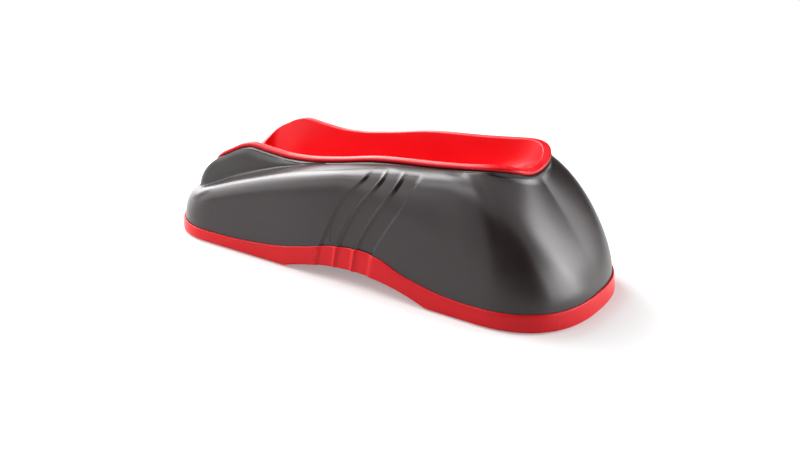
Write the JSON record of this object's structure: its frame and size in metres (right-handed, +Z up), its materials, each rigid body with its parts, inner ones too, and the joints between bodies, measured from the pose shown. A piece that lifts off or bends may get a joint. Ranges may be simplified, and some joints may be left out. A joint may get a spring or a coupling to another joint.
{
  "type": "bike trainer front riser block",
  "caption": "Free-standing moulded block whose curved channel raises and steadies the front end of a bicycle on a home trainer.",
  "frame": {"origin": "on the floor, under the middle of the block", "axes": "+X along the block towards the high, domed end, +Y across it, +Z up"},
  "size_m": [0.3366, 0.158, 0.1032],
  "materials": {
    "anthracite_shell": "satin moulded, fine grain",
    "red_moulding": "satin moulded",
    "rubber_pad": "matt",
    "zinc_screw": "zinc plated"
  },
  "bodies": {
    "root": {"outer_shell": "anthracite_shell", "cradle_liner": "red_moulding", "base_band": "red_moulding", "rubber_foot_1": "rubber_pad", "rubber_foot_2": "rubber_pad", "rubber_foot_3": "rubber_pad", "rubber_foot_4": "rubber_pad", "rubber_foot_5": "rubber_pad", "rubber_foot_6": "rubber_pad", "shell_screw_1": "zinc_screw", "shell_screw_2": "zinc_screw", "shell_screw_3": "zinc_screw", "shell_screw_4": "zinc_screw", "shell_screw_5": "zinc_screw", "shell_screw_6": "zinc_screw", "shell_screw_7": "zinc_screw", "shell_screw_8": "zinc_screw", "cradle_screw_1": "zinc_screw", "cradle_screw_2": "zinc_screw", "cradle_screw_3": "zinc_screw", "cradle_screw_4": "zinc_screw"}
  },
  "joints": []
}
